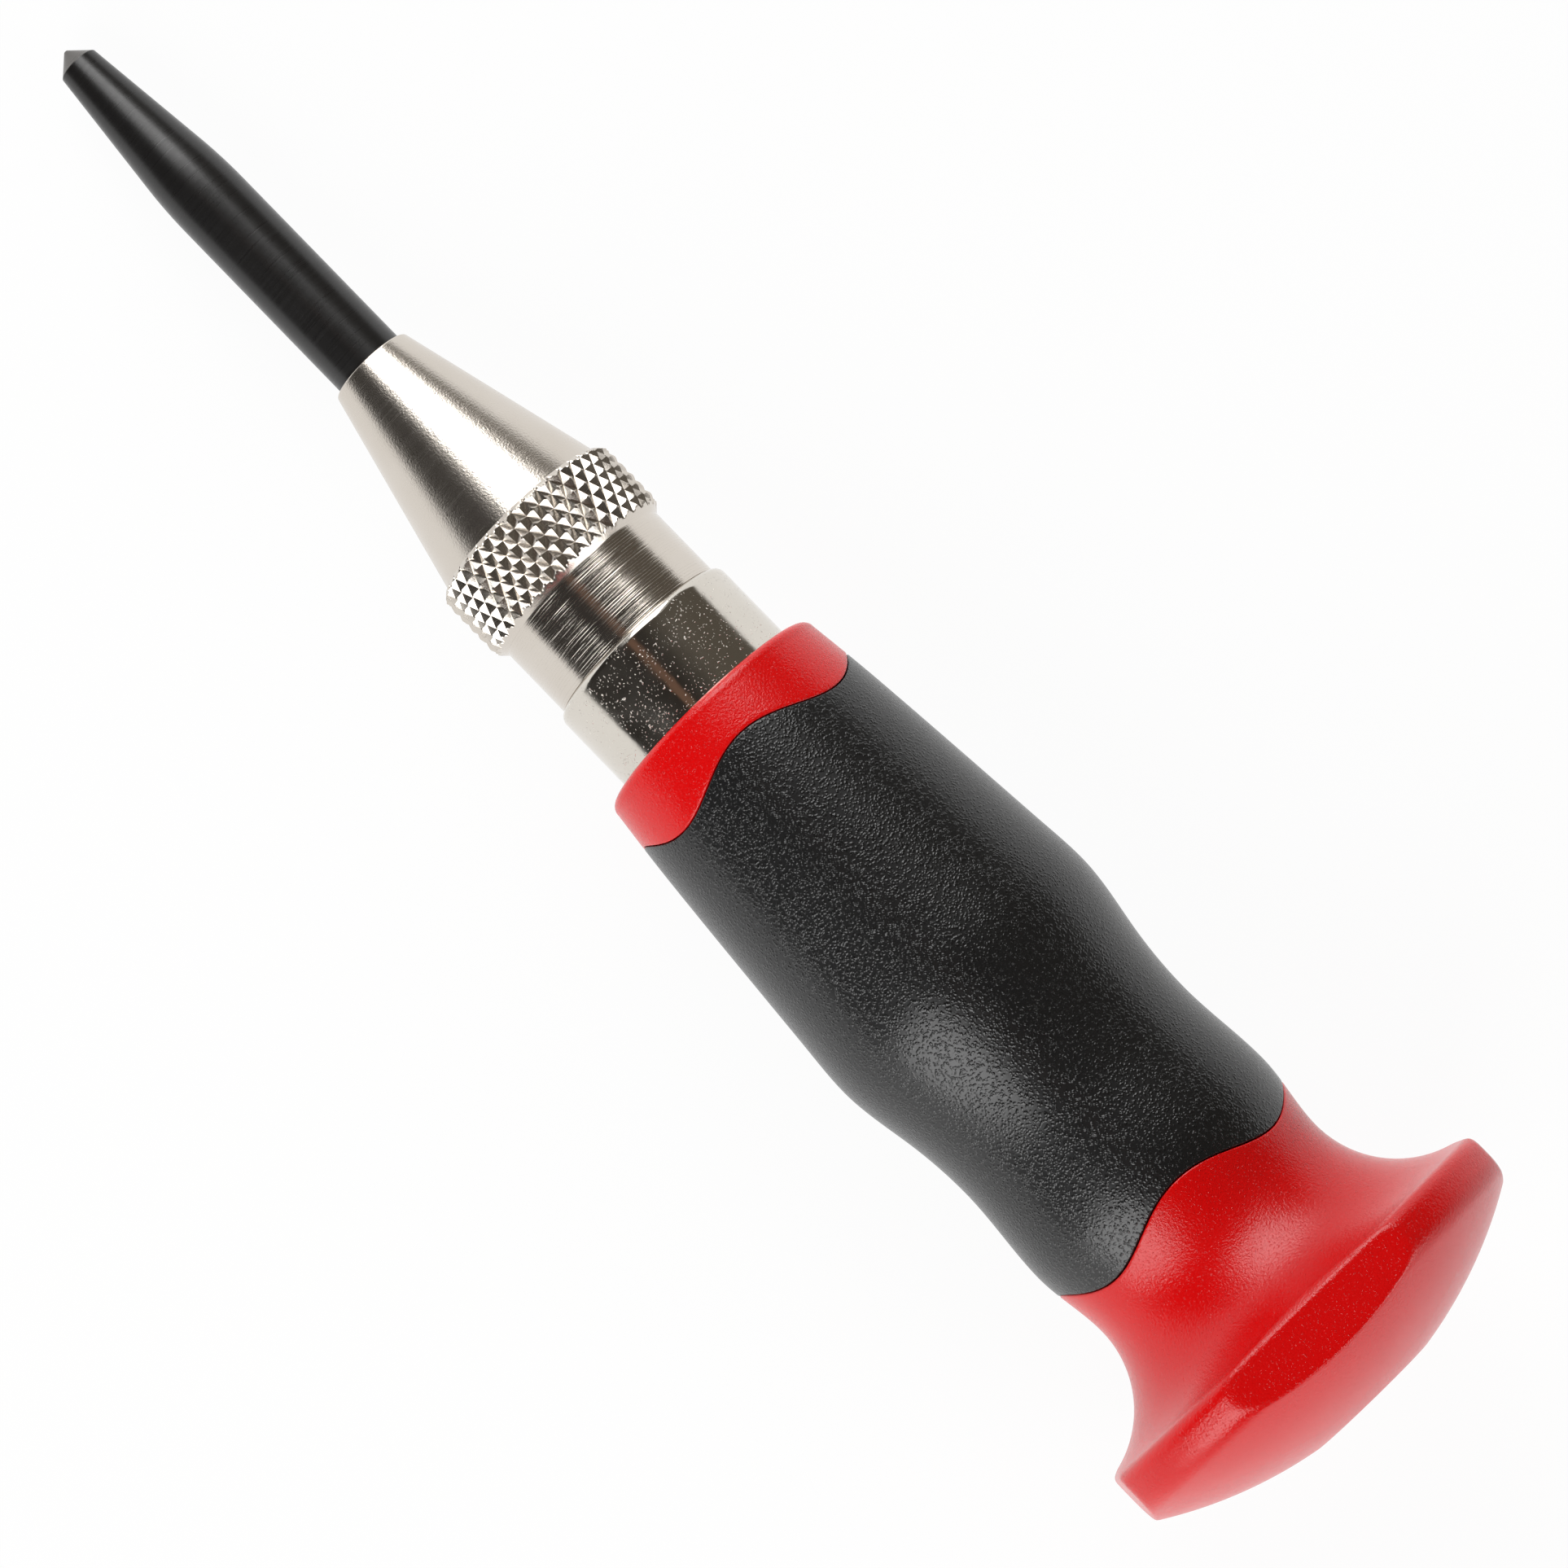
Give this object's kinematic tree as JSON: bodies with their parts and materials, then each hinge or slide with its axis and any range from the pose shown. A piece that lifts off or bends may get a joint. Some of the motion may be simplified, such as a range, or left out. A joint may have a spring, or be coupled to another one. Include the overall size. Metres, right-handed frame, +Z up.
{
  "type": "automatic center punch",
  "caption": "Push-type automatic center punch with a black oxide point, a knurled plated nose, a red palm-knob handle and a black moulded grip.",
  "frame": {"origin": "middle of the underside of the box round the tool as it lies on a table", "axes": "+X along the tool's length from the point to the palm knob, +Y to the right as seen from the palm knob's end, +Z up from the table"},
  "size_m": [0.1692, 0.0426, 0.0429],
  "materials": {
    "black_oxide": "black oxide on ground tool steel",
    "nickel_nose": "bright nickel plate over fine turning marks",
    "nickel_barrel": "bright nickel plate over a coarse drawn tube",
    "plain_steel": "turned or drawn steel, oiled",
    "striker_steel": "hardened and ground steel, oiled",
    "red_plastic": "satin moulded plastic",
    "black_grip": "soft moulded grip with a pebble grain"
  },
  "bodies": {
    "housing": {"barrel": "nickel_barrel", "handle_core": "red_plastic", "grip_sleeve": "black_grip", "guide_bush": "plain_steel", "retaining_ring": "plain_steel", "spring_seat": "plain_steel", "end_plug": "plain_steel", "return_spring": "plain_steel", "main_spring": "striker_steel"},
    "nose": {"nose_cone": "nickel_nose"},
    "punch": {"punch_point": "black_oxide", "plunger": "plain_steel", "drive_pin": "plain_steel"},
    "hammer": {"hammer": "striker_steel", "trip_spring": "striker_steel"},
    "trip": {"trip_slide": "striker_steel"}
  },
  "joints": [
    {"name": "punch_slide", "type": "slide", "parent": "housing", "child": "punch", "axis": [0.9936, 0, 0.1131], "range_m": [0, 0.009], "stiffness_N_per_m": 800, "springref_m": -0.005, "deforming": ["return_spring"]},
    {"name": "hammer_slide", "type": "slide", "parent": "housing", "child": "hammer", "axis": [0.9936, 0, 0.1131], "range_m": [0, 0.009], "stiffness_N_per_m": 4000, "deforming": ["main_spring"]},
    {"name": "trip_shift", "type": "slide", "parent": "hammer", "child": "trip", "axis": [0, -1, 0], "range_m": [0, 0.0015], "deforming": ["trip_spring"]},
    {"name": "nose_turn", "type": "hinge", "parent": "housing", "child": "nose", "pos_m": [-0.02095, 0, 0.0104], "axis": [0.9936, 0, 0.1131], "continuous": true}
  ],
  "couplings": [
    {"joint": "hammer_slide", "follows": "punch_slide", "ratio": 1},
    {"joint": "trip_shift", "follows": "punch_slide", "ratio": 0.16667}
  ]
}
